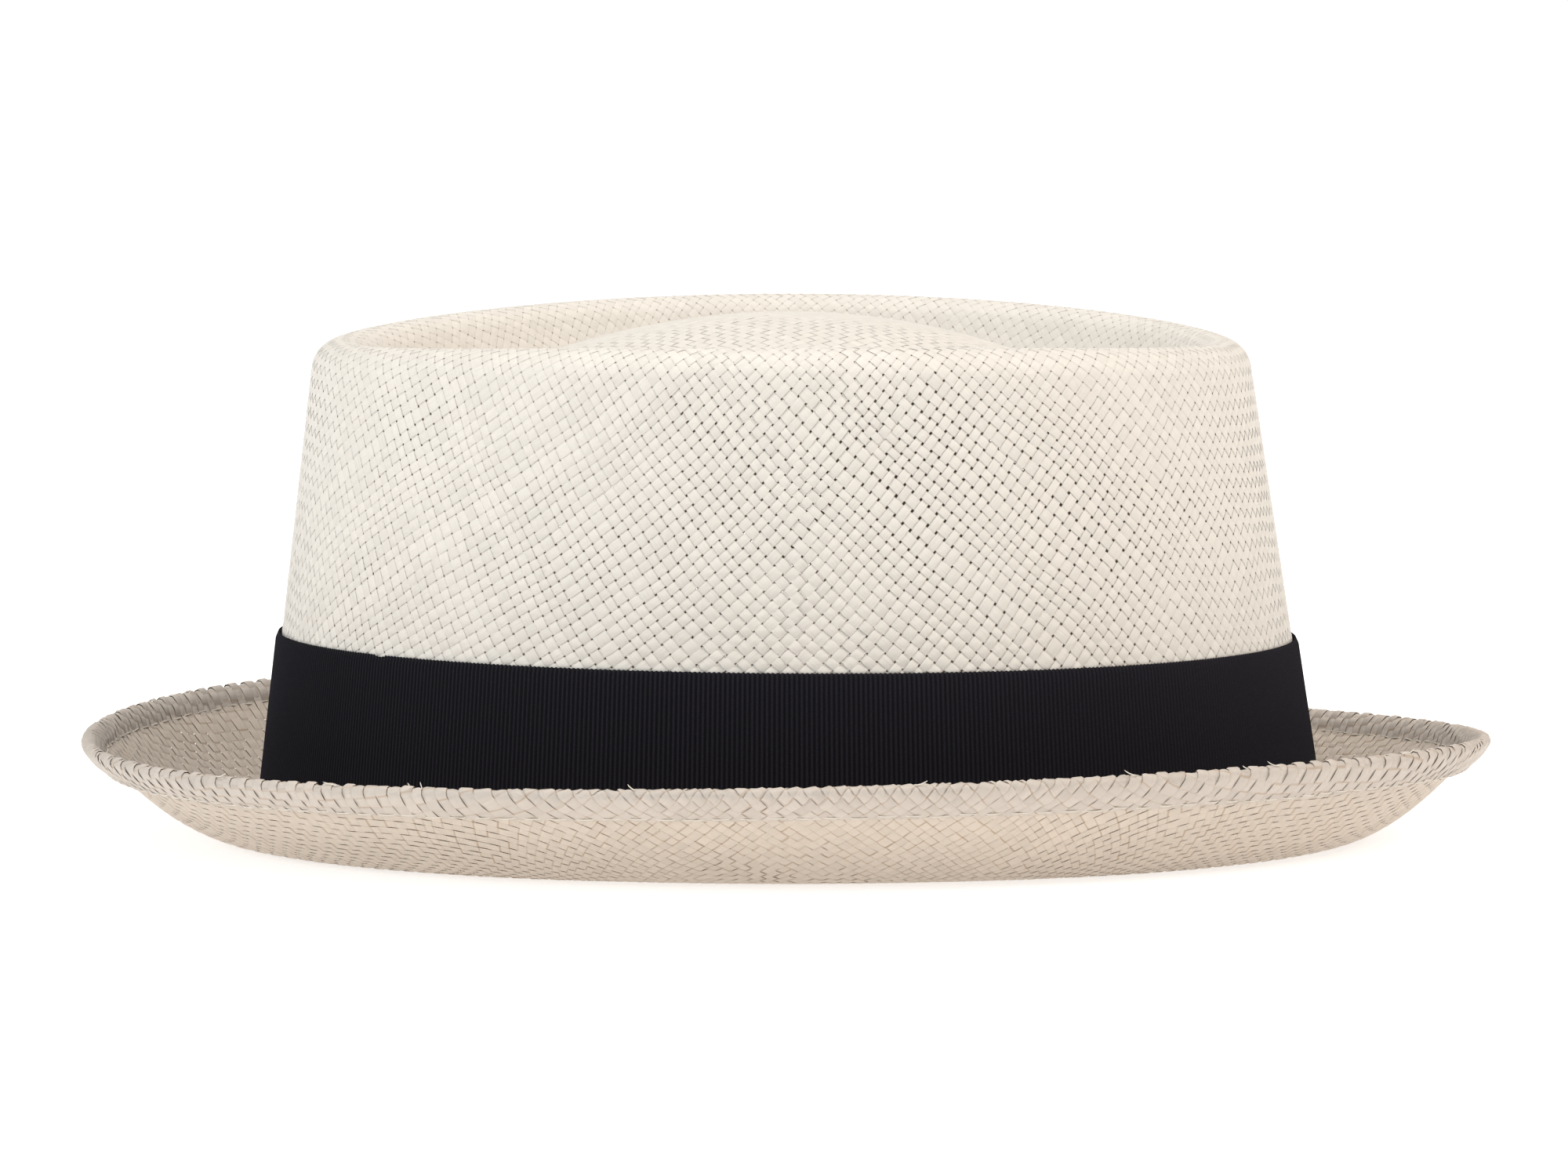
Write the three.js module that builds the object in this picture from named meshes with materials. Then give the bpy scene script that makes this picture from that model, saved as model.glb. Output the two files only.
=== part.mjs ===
// A woven straw porkpie hat with a black ribbon band.
// Millimetres, +Z up. The hat stands on the flat ring where its brim leaves the crown.
// +X is the front of the hat, -Y the wearer's right side. The origin is at the middle of its box, on that ring.
import * as THREE from "three";

// Woven straw
const STRAW_THICKNESS = 1.3;
const HEM_THICKNESS = 1.2;
const HEM_WIDTH = 8.4; // from the middle of the rolled edge to the hem's lower edge, along the brim

// Crown, measured outside. A foot is where the crown wall meets the plane of the ring.
const CROWN_HALF_LENGTH = 102.4;
const CROWN_HALF_WIDTH = 89;
const TAPER_FRONT = 8.6; // degrees that the wall leans in
const TAPER_BACK = 6.4;
const TAPER_SIDE = 5.5;
const CREST_HEIGHT_ENDS = 96.2;
const CREST_HEIGHT_SIDES = 99.9;
const CREST_RADIUS = 6;
const FLANK_LEAN = 25; // degrees off plumb of the crest's inner side, down to the channel
const CHANNEL_HEIGHT = 81;
const DOME_HEIGHT = 101.3;
const BREAK_RADIUS = 1.5; // between crown wall and brim

// Brim, turned up all round
const BRIM_WIDTH_FRONT = 31;
const BRIM_WIDTH_BACK = 32.8;
const BRIM_WIDTH_SIDE = 32.8;
const BRIM_RISE_FRONT = 18.8;
const BRIM_RISE_BACK = 18.8;
const BRIM_RISE_SIDE = 20;
const BRIM_TWIST = 1.9; // how much the far back and near front quarters stand higher
const REST_RING_WIDTH = 4.5; // flat part of the brim outside the crown's foot
const BRIM_CURVE = 1.68; // power of the brim's rise, from the ring to the edge
const RIM_BACK_FULLNESS = 0.07; // share by which the rim is fuller behind and leaner in front

// Ribbon band
const RIBBON_THICKNESS = 1;
const RIBBON_CLEARANCE = 0.3;
const RIBBON_BOTTOM = 2.9;
const RIBBON_TOP = 39.2;
const RIBBON_TOP_SLOPE = -0.006; // per millimetre towards the front
const RIBBON_LAP = 24; // length that the free end lies over the start
const LAP_RAMP = 8; // length in which the free end climbs onto the start
const RIBBON_END_STEP = 0.2; // length over which the cut end drops to the start

// The crown stands off the box's middle, because the brim is narrower in front.
const CROWN_MIDDLE = (BRIM_WIDTH_BACK - BRIM_WIDTH_FRONT) / 2;
const STATIONS = 64;

// Where the rings of the skin lie, as shares of the stretch that each follows.
const DOME_RINGS = [0.2, 0.4, 0.6, 0.78]; // of the way from the dome's top to the channel
const DOME_FOOT = 0.93; // where the dome turns into the channel's floor
const FLANK_FOOT = 0.25; // where the crest's inner side does, from the channel up
const CREST_RINGS = [0, 0.25, 0.5, 0.67, 0.84, 1]; // of the turn over the crest, from inside
const WALL_RINGS = [0.66, 0.33, 0]; // of the crown wall, from its foot up
const BREAK_BULGE = 0.3; // how far the break's middle lies out of its corner, of its radius
const BRIM_UPPER_RINGS = [0.16, 0.34, 0.5, 0.65, 0.79, 0.91, 1]; // of the brim, from the crown out
const EDGE_TURNS = [50, 0, -50]; // degrees of the rolled edge, from above to below
const BRIM_UNDER_RINGS = [1, 0.8, 0.6, 0.4, 0.2, 0]; // from the hem in to the flat ring
const RAMP_STATIONS = [0, 0.33, 0.66, 1]; // of the ramp onto the ribbon's start
const HEM_SEARCH_STEP = 0.005; // of the brim, when the hem's lower edge is looked for

const UP = new THREE.Vector3(0, 0, 1);

const radians = THREE.MathUtils.degToRad;

// A value that goes from one at the front or back to another at the sides.
function around(angle, front, back, side) {
  const cosine = Math.cos(angle);
  const end = cosine > 0 ? front : back;
  return side + (end - side) * cosine * cosine;
}

// The section's place, direction and sizes at one angle round the hat.
function section(angle) {
  const cosine = Math.cos(angle);
  const sine = Math.sin(angle);
  const foot = new THREE.Vector3(CROWN_HALF_LENGTH * cosine, CROWN_HALF_WIDTH * sine, 0);
  const outward = new THREE.Vector3(CROWN_HALF_WIDTH * cosine, CROWN_HALF_LENGTH * sine, 0).normalize();
  const brimEnd = cosine > 0 ? BRIM_WIDTH_FRONT : BRIM_WIDTH_BACK;
  const rim = new THREE.Vector3(
    (CROWN_HALF_LENGTH + brimEnd) * cosine,
    (CROWN_HALF_WIDTH + BRIM_WIDTH_SIDE) * sine * (1 - RIM_BACK_FULLNESS * cosine),
    0,
  );
  const across = rim.clone().sub(foot);
  const rise = around(angle, BRIM_RISE_FRONT, BRIM_RISE_BACK, BRIM_RISE_SIDE);
  const backQuarter = cosine * sine * sine;
  return {
    foot,
    outward,
    taper: radians(around(angle, TAPER_FRONT, TAPER_BACK, TAPER_SIDE)),
    crest: around(angle, CREST_HEIGHT_ENDS, CREST_HEIGHT_ENDS, CREST_HEIGHT_SIDES),
    brimWidth: across.length(),
    brimOut: across.normalize(),
    brimRise: rise - BRIM_TWIST * (Math.sin(2 * angle) + backQuarter),
  };
}

// A point on the crown's section: so far out of the foot, at a height, with the direction that faces out there.
function crownPoint(place, out, height, tilt) {
  return {
    at: place.foot.clone().addScaledVector(place.outward, out).setZ(height),
    facing: place.outward.clone().multiplyScalar(Math.cos(tilt)).addScaledVector(UP, Math.sin(tilt)),
  };
}

// The crown's outside, from the top of the dome down to the break at the brim.
function crownRows(place) {
  const { taper, crest } = place;
  const centreHeight = crest - CREST_RADIUS;
  const centreOut = -Math.tan(taper) * centreHeight - CREST_RADIUS / Math.cos(taper);
  const flankTilt = Math.PI - radians(FLANK_LEAN);
  const arc = (tilt) => [centreOut + CREST_RADIUS * Math.cos(tilt), centreHeight + CREST_RADIUS * Math.sin(tilt)];
  const [flankOut, flankHeight] = arc(flankTilt);
  const channelOut = flankOut - Math.tan(radians(FLANK_LEAN)) * (flankHeight - CHANNEL_HEIGHT);
  const channel = crownPoint(place, channelOut, 0, 0).at;
  const channelRadius = channel.length();
  const domeRise = DOME_HEIGHT - CHANNEL_HEIGHT;

  const domePoint = (share) => ({
    at: channel.clone().multiplyScalar(share).setZ(DOME_HEIGHT - domeRise * share * share),
    facing: channel.clone().multiplyScalar((2 * domeRise * share) / channelRadius ** 2).add(UP).normalize(),
  });
  const domeFoot = domePoint(DOME_FOOT);
  const flankFoot = crownPoint(
    place,
    THREE.MathUtils.lerp(channelOut, flankOut, FLANK_FOOT),
    THREE.MathUtils.lerp(CHANNEL_HEIGHT, flankHeight, FLANK_FOOT),
    flankTilt,
  );
  const channelFloor = {
    at: domeFoot.at.clone().add(flankFoot.at).addScaledVector(domePoint(1).at, 2).divideScalar(4),
    facing: domeFoot.facing.clone().add(flankFoot.facing).normalize(),
  };

  const rows = DOME_RINGS.map(domePoint);
  rows.push(domeFoot, channelFloor, flankFoot);
  for (const share of CREST_RINGS) {
    const tilt = THREE.MathUtils.lerp(flankTilt, taper, share);
    rows.push(crownPoint(place, ...arc(tilt), tilt));
  }
  const wallTop = centreHeight + CREST_RADIUS * Math.sin(taper);
  const wallFoot = STRAW_THICKNESS + BREAK_RADIUS;
  for (const share of WALL_RINGS) {
    const height = THREE.MathUtils.lerp(wallFoot, wallTop, share);
    rows.push(crownPoint(place, -Math.tan(taper) * height, height, taper));
  }
  return rows;
}

// The line between the brim's straw and its hem: flat on the ring, then rising to the edge.
// A share runs from the crown's foot to the edge, and depth is measured up out of the line.
function brimPoint(place, share, depth) {
  const { foot, brimOut, brimWidth, brimRise } = place;
  const flat = REST_RING_WIDTH / brimWidth;
  const climb = Math.max(0, (share - flat) / (1 - flat));
  const slope = (brimRise * BRIM_CURVE * climb ** (BRIM_CURVE - 1)) / (1 - flat) / brimWidth;
  const lean = Math.atan(slope);
  return foot
    .clone()
    .addScaledVector(brimOut, brimWidth * share - depth * Math.sin(lean))
    .setZ(brimRise * climb ** BRIM_CURVE + depth * Math.cos(lean));
}

// The share of the brim where its line is one hem's width short of the edge.
function hemShare(place) {
  let share = 1;
  let length = 0;
  let last = brimPoint(place, share, 0);
  while (length < HEM_WIDTH && share > HEM_SEARCH_STEP) {
    share -= HEM_SEARCH_STEP;
    const next = brimPoint(place, share, 0);
    length += next.distanceTo(last);
    last = next;
  }
  return share;
}

// The brim's upper side, rolled edge, hem and under side, from the break at the crown round to the foot.
function brimRows(place) {
  const rows = [];
  const breakShare = BREAK_RADIUS / place.brimWidth;
  rows.push(brimPoint(place, breakShare * BREAK_BULGE, STRAW_THICKNESS + BREAK_RADIUS * BREAK_BULGE));
  for (const share of [breakShare, ...BRIM_UPPER_RINGS]) {
    rows.push(brimPoint(place, share, STRAW_THICKNESS));
  }
  const edge = brimPoint(place, 1, 0);
  const inward = brimPoint(place, 1, 1).sub(edge);
  const along = new THREE.Vector3(0, 0, inward.dot(place.brimOut) * -1).addScaledVector(place.brimOut, inward.z);
  for (const degrees of EDGE_TURNS) {
    const turn = radians(degrees);
    const radius = THREE.MathUtils.lerp(HEM_THICKNESS, STRAW_THICKNESS, (1 + Math.sin(turn)) / 2);
    rows.push(
      edge.clone()
        .addScaledVector(along, radius * Math.cos(turn))
        .addScaledVector(inward, radius * Math.sin(turn)),
    );
  }
  const hemEnd = hemShare(place);
  for (const share of [1, (1 + hemEnd) / 2, hemEnd]) {
    rows.push(brimPoint(place, share, -HEM_THICKNESS));
  }
  const flat = REST_RING_WIDTH / place.brimWidth;
  for (const share of BRIM_UNDER_RINGS) {
    rows.push(brimPoint(place, THREE.MathUtils.lerp(flat, hemEnd, share), 0));
  }
  rows.push(place.foot.clone());
  rows.push(place.foot.clone().addScaledVector(place.outward, -STRAW_THICKNESS));
  return rows;
}

// A closed skin through rings of points, with one point at each end.
function closedSkin(firstPole, rings, lastPole) {
  const count = rings[0].length;
  const points = [firstPole, ...rings.flat(), lastPole];
  const faces = [];
  const index = (ring, station) => 1 + ring * count + (station % count);
  for (let station = 0; station < count; station++) {
    faces.push(0, index(0, station), index(0, station + 1));
    for (let ring = 0; ring + 1 < rings.length; ring++) {
      const [a, b] = [index(ring, station), index(ring, station + 1)];
      const [c, d] = [index(ring + 1, station), index(ring + 1, station + 1)];
      faces.push(a, c, d, a, d, b);
    }
    faces.push(points.length - 1, index(rings.length - 1, station + 1), index(rings.length - 1, station));
  }
  return geometryOf(points, faces);
}

// A closed tube of sections that runs once round the hat and meets itself.
function closedLoop(sections) {
  const sides = sections[0].length;
  const faces = [];
  const index = (station, side) => (station % sections.length) * sides + (side % sides);
  for (let station = 0; station < sections.length; station++) {
    for (let side = 0; side < sides; side++) {
      const [a, b] = [index(station, side), index(station, side + 1)];
      const [c, d] = [index(station + 1, side), index(station + 1, side + 1)];
      faces.push(a, c, d, a, d, b);
    }
  }
  return geometryOf(sections.flat(), faces);
}

function geometryOf(points, faces) {
  const geometry = new THREE.BufferGeometry().setFromPoints(points);
  geometry.setIndex(faces);
  geometry.computeVertexNormals();
  return geometry;
}

// Crown and brim, woven in one piece, with the brim's edge turned under as a hem.
function strawBody() {
  const places = Array.from({ length: STATIONS }, (_, i) => section((2 * Math.PI * i) / STATIONS));
  const columns = places.map((place) => {
    const crown = crownRows(place);
    const outside = crown.map((row) => row.at);
    const inside = crown.map((row) => row.at.clone().addScaledVector(row.facing, -STRAW_THICKNESS));
    return [...outside, ...brimRows(place), ...inside.reverse()];
  });
  const rings = columns[0].map((_, row) => columns.map((column) => column[row]));
  const domeTop = new THREE.Vector3(0, 0, DOME_HEIGHT);
  const domeUnderside = new THREE.Vector3(0, 0, DOME_HEIGHT - STRAW_THICKNESS);
  const material = new THREE.MeshStandardMaterial({ color: 0xece3d2, roughness: 0.6, metalness: 0 });
  const mesh = new THREE.Mesh(closedSkin(domeTop, rings, domeUnderside), material);
  mesh.name = "straw_body";
  return mesh;
}

// How far out of the crown wall the ribbon's face stands, at a length past the middle of its lap.
function ribbonStandOff(pastLap) {
  const climb = THREE.MathUtils.smoothstep(pastLap, -RIBBON_LAP / 2 - LAP_RAMP, -RIBBON_LAP / 2);
  return RIBBON_CLEARANCE + RIBBON_THICKNESS * (1 + climb);
}

// The band's section: a strip on the crown wall, seen as a thin upright quadrilateral.
function ribbonSection(angle, standOff) {
  const { foot, outward, taper } = section(angle);
  const top = RIBBON_TOP + RIBBON_TOP_SLOPE * foot.x;
  const corner = (out, height) =>
    foot.clone().addScaledVector(outward, out - Math.tan(taper) * height).setZ(height);
  return [
    corner(RIBBON_CLEARANCE, RIBBON_BOTTOM),
    corner(standOff, RIBBON_BOTTOM),
    corner(standOff, top),
    corner(RIBBON_CLEARANCE, top),
  ];
}

// The ribbon runs round the crown, and its free end lies over its start on the wearer's left side.
// Lengths are counted from the middle of the lap, and at the side a radian is one half length long.
function ribbonBand() {
  const freeEnd = RIBBON_LAP / 2;
  const start = freeEnd - 2 * Math.PI * CROWN_HALF_LENGTH + RIBBON_END_STEP;
  const climb = -freeEnd - LAP_RAMP;
  const lengths = [];
  for (let step = 0; step < STATIONS; step++) {
    lengths.push(THREE.MathUtils.lerp(start, climb, step / STATIONS));
  }
  for (const share of RAMP_STATIONS) {
    lengths.push(climb + LAP_RAMP * share);
  }
  lengths.push(0, freeEnd);
  const sections = lengths.map((length) =>
    ribbonSection(Math.PI / 2 + length / CROWN_HALF_LENGTH, ribbonStandOff(length)),
  );
  const material = new THREE.MeshStandardMaterial({ color: 0x15161d, roughness: 0.8, metalness: 0 });
  const mesh = new THREE.Mesh(closedLoop(sections), material);
  mesh.name = "ribbon_band";
  return mesh;
}

const hat = new THREE.Group();
hat.add(strawBody(), ribbonBand());
for (const piece of hat.children) {
  piece.position.x = CROWN_MIDDLE;
}

export default hat;
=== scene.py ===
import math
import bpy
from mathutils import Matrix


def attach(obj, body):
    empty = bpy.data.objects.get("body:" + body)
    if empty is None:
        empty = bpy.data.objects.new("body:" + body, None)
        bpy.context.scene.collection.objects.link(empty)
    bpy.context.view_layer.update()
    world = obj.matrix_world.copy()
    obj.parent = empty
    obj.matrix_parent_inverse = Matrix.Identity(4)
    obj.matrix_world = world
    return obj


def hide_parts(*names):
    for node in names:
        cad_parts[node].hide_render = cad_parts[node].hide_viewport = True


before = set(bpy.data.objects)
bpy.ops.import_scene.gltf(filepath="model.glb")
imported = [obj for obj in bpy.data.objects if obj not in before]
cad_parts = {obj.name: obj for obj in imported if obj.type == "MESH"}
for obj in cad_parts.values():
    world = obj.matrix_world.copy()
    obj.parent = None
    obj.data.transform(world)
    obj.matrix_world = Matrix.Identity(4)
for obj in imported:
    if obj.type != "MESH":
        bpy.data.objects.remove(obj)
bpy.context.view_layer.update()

# A woven straw porkpie hat with a black ribbed ribbon. Metres, +Z up, the hat's front towards +X.
# Each straw strand is a strip of its own that goes over and under the strands that cross it.
from types import SimpleNamespace

import bpy
import numpy as np
from mathutils import Vector

MM = 0.001

# Sizes of the crown, the same as the solid's
CROWN_HALF_LENGTH = 102.4 * MM
CROWN_HALF_WIDTH = 89 * MM
TAPER_FRONT = 8.6
TAPER_BACK = 6.4
TAPER_SIDE = 5.5
CREST_HEIGHT_ENDS = 96.2 * MM
CREST_HEIGHT_SIDES = 99.9 * MM
CREST_RADIUS = 6 * MM
FLANK_LEAN = 25
CHANNEL_HEIGHT = 81 * MM
DOME_HEIGHT = 101.3 * MM
DOME_FOOT = 0.93
CHANNEL_BOTTOM = 0.46  # share of the channel's curve, from the dome's foot to the flank's
DOME_LAP = 0.04  # how much further the dome's weave reaches
FLANK_FOOT = 0.25

# Sizes of the brim and ribbon, the same as the solids'
BRIM_WIDTH_FRONT = 31 * MM
BRIM_WIDTH_BACK = 32.8 * MM
BRIM_WIDTH_SIDE = 32.8 * MM
BRIM_RISE_ENDS = 18.8 * MM
BRIM_RISE_SIDE = 20 * MM
BRIM_TWIST = 1.9 * MM
REST_RING_WIDTH = 4.5 * MM
BRIM_CURVE = 1.68
RIM_BACK_FULLNESS = 0.07
RIBBON_CLEARANCE = 0.3 * MM
RIBBON_BOTTOM = 2.9 * MM
RIBBON_TOP = 39.2 * MM
RIBBON_TOP_SLOPE = -0.006
RIBBON_LAP = 24 * MM
LAP_RAMP = 8 * MM
CROWN_MIDDLE = Vector(((BRIM_WIDTH_BACK - BRIM_WIDTH_FRONT) / 2, 0, 0))

# Weave
CROWN_STRANDS = 178  # in each of the two directions, all round
BRIM_STRANDS = 232
DOME_STRANDS = 92
DOME_PITCH = 2.1 * MM
CROWN_TURN = math.radians(10)  # how far the weave turns off the diagonal on the hat's quarters
CROWN_LEAN = 0.9  # how much more it turns on the back quarters
BRIM_TURN = math.radians(42)
TURN_STEPS = 3600
STRAND_UNEVENNESS = 0.15
WIDE_STRANDS = 0.06  # share of strands that are split wider
WIDE_EXTRA = 0.3  # how much wider those are
WIDTH_WOBBLE = 0.06  # uneven width along a strand
HEIGHT_WOBBLE = 0.16  # uneven height from crossing to crossing
WOBBLE_STEPS = 257
CROWN_SKIN = 0.3 * MM  # depth of the weave's middle under the crown's outside
WALL_FOOT = 0.9 * MM  # height of the lower edge of the crown's sheet
BRIM_MIDDLE_FOOT = 0.36 * MM  # height of the weave's middle over the brim's line, at the ring
EDGE_RADIUS = 1 * MM
# The rolled edge and its seam, in mm: the distance in from the edge, and how far the weave's middle
# lies over the brim's line, or under it
ROLL_ABOVE = (
    (0, 1), (0.8, 1.14), (1.6, 1.18), (2.4, 1), (3, 0.72), (3.5, 0.5), (4.2, 0.5), (5, 0.6), (6, 0.66)
)
ROLL_BELOW = (
    (0, 1), (1, 1.16), (2.2, 1.2), (3.4, 1.1), (4.4, 0.96), (5, 0.88), (5.5, 0.86), (5.9, 0.4)
)
EDGE_STRETCH = 1.3  # how much longer each strand shows where it goes over the edge
SEAM_ABOVE = 3.6 * MM
SEAM_BELOW = 4.9 * MM
EDGE_SLOPE = 0.8  # the brim's slope on its way to the edge, as a share of the edge's own
# Where the straw turns out of the crown, in mm: how far out of the foot, and how high
MOUTH = ((-0.65, 5.0), (-0.78, 3.8), (-0.95, 2.6), (-1.0, 1.8), (-0.85, 1.1), (-0.45, 0.55), (0.2, 0.38))

# Rows of points down each sheet, and points round it
CHANNEL_ROWS = 15
FLANK_ROWS = 10
CREST_ROWS = 26
WALL_ROWS = 59
BRIM_ROWS = 51
ROLL_ROWS = 20
EDGE_ROWS = 11
STATIONS = 720

SEED = 7


# The hat's form

def around(angle, front, back, side):
    """A value that goes from one at the front or back to another at the sides."""
    end = np.where(np.cos(angle) > 0, front, back)
    return side + (end - side) * np.cos(angle) ** 2


def flat_vectors(x, y):
    return np.stack([x, y, np.zeros_like(x)], axis=-1)


def unit(vectors):
    return vectors / np.linalg.norm(vectors, axis=-1, keepdims=True)


def sections(angle):
    """Place, direction and sizes of the hat's section at each angle."""
    cosine, sine = np.cos(angle), np.sin(angle)
    foot = flat_vectors(CROWN_HALF_LENGTH * cosine, CROWN_HALF_WIDTH * sine)
    brim_end = np.where(cosine > 0, BRIM_WIDTH_FRONT, BRIM_WIDTH_BACK)
    rim = flat_vectors(
        (CROWN_HALF_LENGTH + brim_end) * cosine,
        (CROWN_HALF_WIDTH + BRIM_WIDTH_SIDE) * sine * (1 - RIM_BACK_FULLNESS * cosine),
    )
    across = rim - foot
    rise = around(angle, BRIM_RISE_ENDS, BRIM_RISE_ENDS, BRIM_RISE_SIDE)
    return SimpleNamespace(
        foot=foot,
        outward=unit(flat_vectors(CROWN_HALF_WIDTH * cosine, CROWN_HALF_LENGTH * sine)),
        taper=np.radians(around(angle, TAPER_FRONT, TAPER_BACK, TAPER_SIDE)),
        crest=around(angle, CREST_HEIGHT_ENDS, CREST_HEIGHT_ENDS, CREST_HEIGHT_SIDES),
        brim_width=np.linalg.norm(across, axis=-1),
        brim_out=unit(across),
        brim_rise=rise - BRIM_TWIST * (np.sin(2 * angle) + cosine * sine**2),
    )


def crown_point(place, out, height):
    point = place.foot + place.outward * np.asarray(out)[..., None]
    point[..., 2] = height
    return point


def crest_centre(place):
    """The middle of the crest's arc: how far out of the foot, and how high."""
    height = place.crest - CREST_RADIUS
    return -np.tan(place.taper) * height - CREST_RADIUS / np.cos(place.taper), height


def channel_out(place):
    """How far out of the foot the channel's line lies, and the start of the crest's arc."""
    centre_out, centre_height = crest_centre(place)
    tilt = np.pi - math.radians(FLANK_LEAN)
    flank_out = centre_out + CREST_RADIUS * np.cos(tilt)
    flank_height = centre_height + CREST_RADIUS * np.sin(tilt)
    lean = math.tan(math.radians(FLANK_LEAN))
    return flank_out - lean * (flank_height - CHANNEL_HEIGHT), flank_out, flank_height


def crown_rows(place):
    """Rows of points from the channel's floor up the flank, over the crest and down the wall."""
    channel, flank_out, flank_height = channel_out(place)
    corner = crown_point(place, channel, CHANNEL_HEIGHT)
    dome_foot = corner * DOME_FOOT
    dome_foot[:, 2] = DOME_HEIGHT - (DOME_HEIGHT - CHANNEL_HEIGHT) * DOME_FOOT**2
    flank_top = crown_point(place, flank_out, flank_height)
    flank_foot = corner + (flank_top - corner) * FLANK_FOOT
    rows = []
    for share in np.linspace(CHANNEL_BOTTOM - 0.2, 1, CHANNEL_ROWS):
        row = dome_foot * (1 - share) ** 2 + corner * 2 * share * (1 - share) + flank_foot * share**2
        # It starts under the dome's edge
        row[:, 2] -= MM * (1 - smooth_step(share, CHANNEL_BOTTOM - 0.05, CHANNEL_BOTTOM + 0.1))
        rows.append(row)
    for share in np.linspace(0, 1, FLANK_ROWS + 2)[1:-1]:
        rows.append(flank_foot + (flank_top - flank_foot) * share)
    centre_out, centre_height = crest_centre(place)
    for share in np.linspace(0, 1, CREST_ROWS):
        tilt = (np.pi - math.radians(FLANK_LEAN)) * (1 - share) + place.taper * share
        out = centre_out + CREST_RADIUS * np.cos(tilt)
        rows.append(crown_point(place, out, centre_height + CREST_RADIUS * np.sin(tilt)))
    wall_top = centre_height + CREST_RADIUS * np.sin(place.taper)
    for share in np.linspace(0, 1, WALL_ROWS + 1)[1:]:
        height = wall_top + (WALL_FOOT - wall_top) * share
        rows.append(crown_point(place, -np.tan(place.taper) * height, height))
    return rows


def brim_share(place, from_edge):
    """The share of the way out along the brim, for a distance in from its edge along the straw."""
    return 1 - from_edge / np.sqrt(place.brim_width**2 + (EDGE_SLOPE * BRIM_CURVE * place.brim_rise) ** 2)


def brim_point(place, share, depth):
    """A point of the brim's section: flat on the ring, then rising to the edge."""
    flat = REST_RING_WIDTH / place.brim_width
    climb = np.maximum(0, (share - flat) / (1 - flat))
    slope = place.brim_rise * BRIM_CURVE * climb ** (BRIM_CURVE - 1) / (1 - flat) / place.brim_width
    lean = np.arctan(slope)
    out = place.brim_width * share - depth * np.sin(lean)
    point = place.foot + place.brim_out * out[:, None]
    point[:, 2] = place.brim_rise * climb**BRIM_CURVE + depth * np.cos(lean)
    return point


def brim_rows(place):
    """Rows of points from the crown's mouth out along the brim, over its edge and back along the hem.

    The second result is the number of the edge's first row.
    """
    rows = []
    for out, height in MOUTH:
        wall = -np.tan(place.taper) * height * MM
        rows.append(crown_point(place, out * MM + wall, height * MM))
    above, below = np.array(ROLL_ABOVE) * MM, np.array(ROLL_BELOW) * MM
    rolled = above[-1, 0]
    single = brim_share(place, rolled).min()
    for share in np.linspace(0.05, single, BRIM_ROWS + 1)[:-1]:
        depth = BRIM_MIDDLE_FOOT + (above[-1, 1] - BRIM_MIDDLE_FOOT) * share / single
        rows.append(brim_point(place, share, depth))
    for from_edge in np.linspace(rolled, 0, ROLL_ROWS):
        depth = np.interp(from_edge, above[:, 0], above[:, 1])
        rows.append(brim_point(place, brim_share(place, from_edge), depth))
    edge = brim_point(place, 1, 0)
    inward = unit(brim_point(place, 1, MM) - edge)
    onward = place.brim_out * inward[:, 2:]
    onward[:, 2] = -np.sum(inward * place.brim_out, axis=-1)
    edge_row = len(rows)
    for turn in np.radians(np.linspace(75, -75, EDGE_ROWS)):
        rows.append(edge + (onward * math.cos(turn) + inward * math.sin(turn)) * EDGE_RADIUS)
    for from_edge in np.linspace(0, below[-1, 0], ROLL_ROWS):
        depth = np.interp(from_edge, below[:, 0], below[:, 1])
        rows.append(brim_point(place, brim_share(place, from_edge), -depth))
    return rows, edge_row


# Woven sheets

class Spacing:
    """Where the strands of one direction lie: uneven widths, counted in strands."""

    def __init__(self, count, rng):
        widths = 1 + STRAND_UNEVENNESS * rng.uniform(-1, 1, count)
        widths = widths + WIDE_EXTRA * (rng.random(count) < WIDE_STRANDS)
        self.count = count
        self.widths = widths * count / widths.sum()
        edges = np.concatenate([[0], np.cumsum(self.widths)])
        self.nodes = np.empty(2 * count + 1)
        self.nodes[0::2] = edges
        self.nodes[1::2] = (edges[1:] + edges[:-1]) / 2

    def at(self, number):
        """The place of a strand's middle, or at a half number, of the line between two strands."""
        turns = np.floor((number + 0.5) / self.count)
        rest = number + 0.5 - turns * self.count
        return turns * self.count + np.interp(rest * 2, np.arange(len(self.nodes)), self.nodes)

    def width(self, number):
        return self.widths[np.mod(number, self.count)]


def waves(rng, count, shortest, longest):
    """A smooth uneven function of two coordinates, about -1 to 1, for wave lengths in strands."""
    lengths = rng.uniform(shortest, longest, count)
    angles = rng.uniform(0, 2 * np.pi, count)
    phases = rng.uniform(0, 2 * np.pi, count)

    def value(a, b):
        total = 0
        for length, angle, phase in zip(lengths, angles, phases):
            along = a * math.cos(angle) + b * math.sin(angle)
            total = total + np.sin(2 * np.pi * along / length + phase)
        return total / math.sqrt(count)

    return value


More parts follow.
